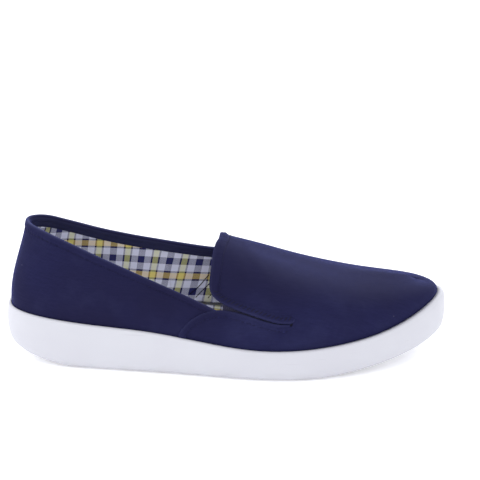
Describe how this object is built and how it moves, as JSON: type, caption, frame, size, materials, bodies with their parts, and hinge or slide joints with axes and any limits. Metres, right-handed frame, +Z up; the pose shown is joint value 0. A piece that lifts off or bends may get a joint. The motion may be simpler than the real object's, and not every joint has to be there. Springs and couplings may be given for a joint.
{
  "type": "canvas slip-on sneaker",
  "caption": "Laceless low-cut canvas shoe for the right foot, with elastic gores under a tongue-like vamp flap and a thick flat rubber cupsole.",
  "frame": {"origin": "on the ground, under the middle of the footprint's bounding box", "axes": "+X from heel to toe, +Z up; the outer side of the foot lies on -Y"},
  "size_m": [0.267, 0.1006, 0.0823],
  "materials": {
    "rubber": "smooth satin white rubber",
    "canvas": "fine matte navy canvas",
    "elastic": "ribbed dark navy elastic",
    "sock": "pale woven sock lining"
  },
  "bodies": {
    "root": {"sole": "rubber", "upper": "canvas", "gore_outer": "elastic", "gore_inner": "elastic", "insole": "sock"}
  },
  "joints": []
}
